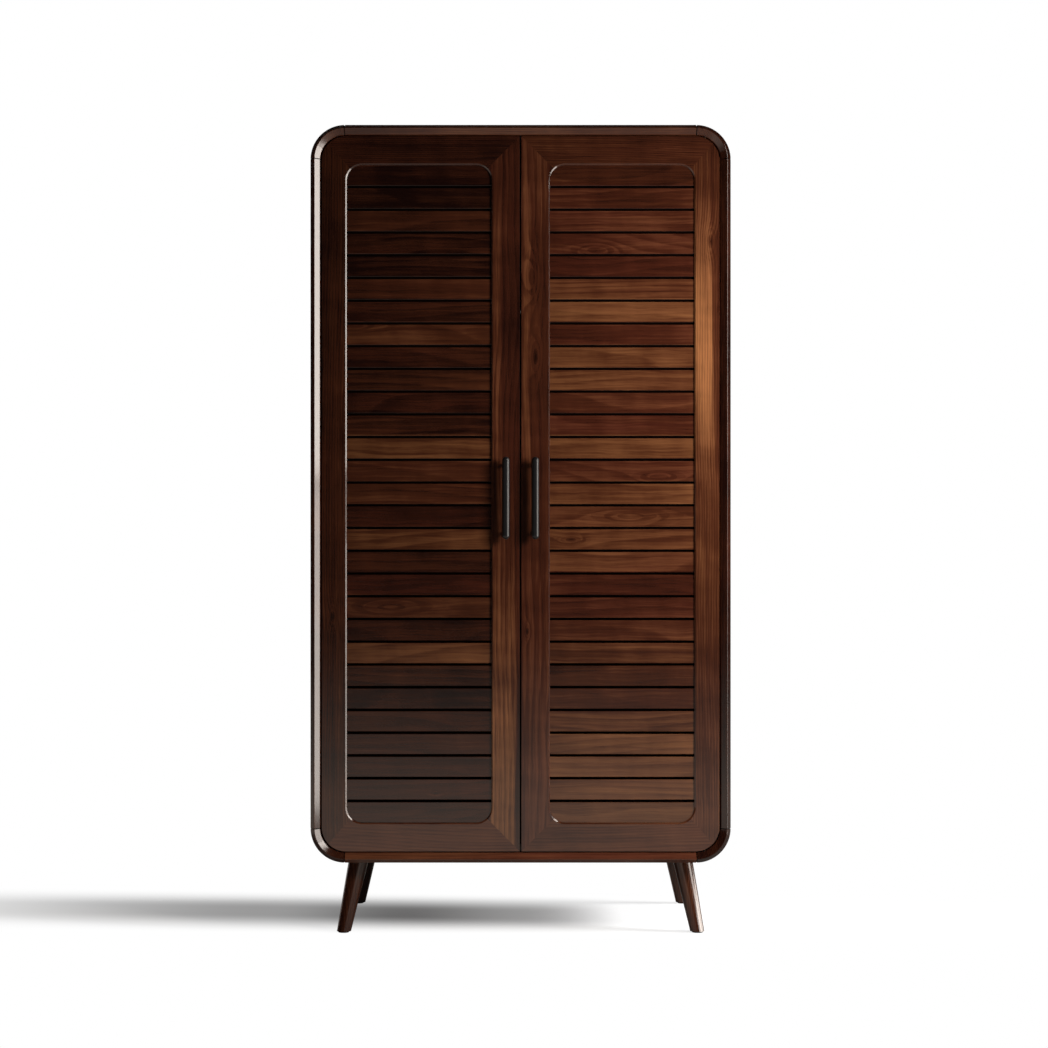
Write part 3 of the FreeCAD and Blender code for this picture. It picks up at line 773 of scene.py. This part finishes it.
class WARDROBE_OT_screws(bpy.types.Operator):
    """Model the small screws of the rail sockets, the stop strips and the wall rail."""

    bl_idname = "wardrobe.screws"
    bl_label = "Small screws"

    def execute(self, context):
        radius = sizes().screw_radius
        socket_screw_share = 0.8
        mesh = bmesh.new()
        for side, sign in SIDES:
            self.socket_screws(mesh, side, sign, radius * socket_screw_share)
        for end, up in (("top", -1), ("bottom", 1)):
            low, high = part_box(end + "_stop_strip")
            face_z = low.z if up < 0 else high.z
            for share in (0.06, 0.5, 0.94):
                centre = Vector((low.x + (high.x - low.x) * share, (low.y + high.y) / 2, face_z))
                screw_head(mesh, centre, (0, 0, up), radius)
        low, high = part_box("wall_fixing_rail")
        for share in (0.04, 0.35, 0.65, 0.96):
            centre = Vector((low.x + (high.x - low.x) * share, low.y, (low.z + high.z) / 2))
            screw_head(mesh, centre, (0, -1, 0), radius)
        new_piece("carcass_screws", mesh, "carcass", "steel", bpy.data.materials["zinc_plate"])
        return {"FINISHED"}

    def socket_screws(self, mesh, side, sign, radius):
        """Adds the two screws in the flange of a rail socket."""
        flange_thickness = 3 * MM
        screw_edge_distance = 3.9 * MM
        low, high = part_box(side + "_rail_socket")
        face_x = low.x + flange_thickness if sign < 0 else high.x - flange_thickness
        middle = (low + high) / 2
        reach = (high.z - low.z) / 2 - screw_edge_distance
        for way in (1, -1):
            centre = Vector((face_x, middle.y + reach * way, middle.z))
            screw_head(mesh, centre, (-sign, 0, 0), radius)


class WARDROBE_OT_bumpers(bpy.types.Operator):
    """Model the felt dots on the stop strips that the doors close against."""

    bl_idname = "wardrobe.bumpers"
    bl_label = "Felt bumpers"

    def execute(self, context):
        radius = sizes().bumper_radius
        thickness = 1.7 * MM
        rim_round = thickness * 0.25
        reach_share = 0.44
        mesh = bmesh.new()
        for end in ("top", "bottom"):
            low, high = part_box(end + "_stop_strip")
            for side, sign in SIDES:
                x = (low.x + high.x) / 2 + sign * (high.x - low.x) * reach_share
                place = Matrix.Translation((x, low.y - thickness / 2, (low.z + high.z) / 2))
                made = bmesh.ops.create_cone(
                    mesh, cap_ends=True, segments=32, radius1=radius, radius2=radius, depth=thickness,
                    matrix=place @ Matrix.Rotation(pi / 2, 4, "X"))
                rim = {
                    edge for vert in made["verts"] for edge in vert.link_edges
                    if abs(edge.verts[0].co.y - edge.verts[1].co.y) < thickness / 2
                }
                bmesh.ops.bevel(
                    mesh, geom=list(rim), offset=rim_round, affect="EDGES", segments=2, profile=0.5,
                    material=-1)
        new_piece("felt_bumpers", mesh, "carcass", "interior_wood", felted("door_felt", colors().felt))
        return {"FINISHED"}


def add_lamp(name, place, target, power, color, width=None, height=None):
    """A lamp that faces a point: a sun, or a panel of light where it has a width."""
    lamp = bpy.data.lights.new(name, "AREA" if width else "SUN")
    if width:
        lamp.shape = "RECTANGLE"
        lamp.size = width
        lamp.size_y = height
    lamp.energy = power
    lamp.color = color
    holder = bpy.data.objects.new(name, lamp)
    bpy.context.scene.collection.objects.link(holder)
    holder.location = place
    holder.rotation_euler = (Vector(target) - Vector(place)).to_track_quat("-Z", "Y").to_euler()
    holder.visible_camera = False
    return holder


def light_only(lamp, state, *things):
    """Makes a lamp light these objects alone, or everything but them."""
    group = bpy.data.collections.new(lamp.name + "_receivers")
    for thing in things:
        group.objects.link(thing)
    for receiver in group.collection_objects:
        receiver.light_linking.link_state = state
    lamp.light_linking.receiver_collection = group


def studio_floor():
    """A white floor that keeps the wardrobe's shadow, which fades with the distance."""
    mesh = bmesh.new()
    bmesh.ops.create_circle(mesh, cap_ends=True, segments=96, radius=sizes().floor_radius)
    data = bpy.data.meshes.new("studio_floor")
    mesh.to_mesh(data)
    mesh.free()
    floor = bpy.data.objects.new("studio_floor", data)
    bpy.context.scene.collection.objects.link(floor)
    data.materials.append(floor_finish())
    return floor


def floor_finish():
    """Matt paper under a white glow.

    The camera sees the least glow, and so the deepest shadow, left of the middle between the
    legs. Shiny surfaces see the floor dark by the wardrobe and brighter some way off.
    """
    deepest_x = -300 * MM
    deepest_glow = 0.13
    shadow_slant = 0.09
    shadow_middle = 50 * MM
    near_mirrored = 0.02
    far_mirrored = 0.32
    camera_paper = (0.90, 0.90, 0.90)
    room_paper = (0.12, 0.11, 0.10)
    warm_glow = (1, 0.82, 0.70)
    material, tree = new_material("studio_floor")
    camera_ray, mirror_ray = tree.rays()
    x, y, z = tree.position()
    along = x - deepest_x
    away = (along * along + y * y * 0.25) ** 0.5
    glow = tree.step(away, 0, 0.35) * 0.17 + tree.step(away, 0.35, 1.5) * 0.52 + deepest_glow
    beside = tree.step((y + x * shadow_slant - shadow_middle).math("ABSOLUTE"), 0.05, 0.36)
    glow = glow + beside - glow * beside
    distance = (x * x + y * y) ** 0.5
    mirrored = tree.step(distance, 1.0, 1.8) * far_mirrored + near_mirrored
    mirrored = mirrored * (1 - tree.step(distance, 2.2, 8.0) * 0.94)
    paper = tree.mix(camera_ray, room_paper, camera_paper)
    matt = tree.node("ShaderNodeBsdfDiffuse", None, {"Color": paper})
    light = tree.mix(mirror_ray, (1, 1, 1), warm_glow)
    white = tree.node("ShaderNodeEmission", None, {"Color": light, "Strength": 1.0})
    share = camera_ray * glow + mirror_ray * mirrored
    both = tree.node("ShaderNodeMixShader", None, {0: share, 1: matt, 2: white})
    tree.node("ShaderNodeOutputMaterial", None, {"Surface": both})
    return material


def studio_world():
    """A dim grey room that the camera sees as white, as do mirror rays that leave at the back."""
    room_level = 0.035
    mirrored_front = 0.004
    world = bpy.data.worlds.new("studio")
    bpy.context.scene.world = world
    tree = Tree(world)
    camera_ray, mirror_ray = tree.rays()
    x, y, z = tree.parts("ShaderNodeSeparateXYZ", tree.node("ShaderNodeTexCoord", out="Generated"))
    back = y - x.math("MAXIMUM", 0) * 0.35
    back = tree.node("ShaderNodeMapRange", None, {0: back, 1: 0.45, 2: 0.8, 3: mirrored_front, 4: 1.0})
    level = mirror_ray * back + (1 - mirror_ray) * room_level
    level = level * (1 - camera_ray) + camera_ray
    sky = tree.node("ShaderNodeBackground", None, {"Color": (1, 1, 1, 1), "Strength": level})
    tree.node("ShaderNodeOutputWorld", None, {"Surface": sky})


def studio_lamps(floor):
    """Panels of light for the wood, the handles, the right legs and the back, and a sun for the floor."""
    lamps = {name: add_lamp(name, *values) for name, values in LAMPS.items()}
    slats = [NODES[side + "_door_slats"] for side, sign in SIDES]
    for name in ("side_upper", "side_lower"):
        lamps[name].visible_diffuse = False
        light_only(lamps[name], "EXCLUDE", NODES["top_panel"], *slats)
    for name in ("back_left", "back_right"):
        light_only(lamps[name], "EXCLUDE", floor)
    for name in ("front_key", "back_left", "back_right"):
        lamps[name].visible_glossy = False
    light_only(lamps["grip_strip"], "INCLUDE", *[NODES[side + "_handle_bar"] for side, sign in SIDES])
    light_only(lamps["leg_strip"], "INCLUDE", NODES["front_right_leg"], NODES["rear_right_leg"])
    sun = add_lamp("floor_sun", (3.0, -0.50, 1.85), (0, 0, 0), 6.6, PLAIN)
    sun.data.angle = radians(20)
    light_only(sun, "INCLUDE", floor)


def photo_camera():
    """A camera straight in front of the wardrobe, with the photograph's lens and frame."""
    frame_pixels = 1048
    aside_pixels = 3.4
    above_pixels = 63.5
    camera = bpy.data.cameras.new("camera")
    camera.sensor_width = 36
    camera.lens = 72.3
    camera.shift_x = aside_pixels / frame_pixels
    camera.shift_y = above_pixels / frame_pixels
    camera.clip_end = 100
    holder = bpy.data.objects.new("camera", camera)
    bpy.context.scene.collection.objects.link(holder)
    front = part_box("top_panel")[0].y
    holder.location = (0, front - sizes().camera_distance, sizes().camera_height)
    holder.rotation_euler = (pi / 2, 0, 0)
    return holder


class WARDROBE_OT_stage(bpy.types.Operator):
    """Make the white studio: floor, background, lamps and camera."""

    bl_idname = "wardrobe.stage"
    bl_label = "Studio"

    def execute(self, context):
        studio_lamps(studio_floor())
        studio_world()
        scene = bpy.context.scene
        scene.camera = photo_camera()
        scene.view_settings.view_transform = "Standard"
        return {"FINISHED"}


class WARDROBE_PT_panel(bpy.types.Panel):
    """Lists the steps that finish the wardrobe."""

    bl_label = "Wardrobe"
    bl_idname = "WARDROBE_PT_panel"
    bl_space_type = "VIEW_3D"
    bl_region_type = "UI"
    bl_category = "Wardrobe"

    def draw(self, context):
        for operator in OPERATORS:
            self.layout.operator(operator.bl_idname)
        for group in (context.scene.wardrobe_sizes, context.scene.wardrobe_colors):
            for name in group.__annotations__:
                self.layout.prop(group, name)


OPERATORS = (
    WARDROBE_OT_carcass,
    WARDROBE_OT_doors,
    WARDROBE_OT_interior,
    WARDROBE_OT_legs,
    WARDROBE_OT_fittings,
    WARDROBE_OT_screws,
    WARDROBE_OT_bumpers,
    WARDROBE_OT_stage,
)
CLASSES = (WardrobeSizes, WardrobeColors) + OPERATORS + (WARDROBE_PT_panel,)


def register():
    for cls in CLASSES:
        bpy.utils.register_class(cls)
    bpy.types.Scene.wardrobe_sizes = bpy.props.PointerProperty(type=WardrobeSizes)
    bpy.types.Scene.wardrobe_colors = bpy.props.PointerProperty(type=WardrobeColors)


def unregister():
    del bpy.types.Scene.wardrobe_colors
    del bpy.types.Scene.wardrobe_sizes
    for cls in reversed(CLASSES):
        bpy.utils.unregister_class(cls)


def main():
    register()
    for operator in OPERATORS:
        group, name = operator.bl_idname.split(".")
        getattr(getattr(bpy.ops, group), name)()


if __name__ == "__main__":
    main()
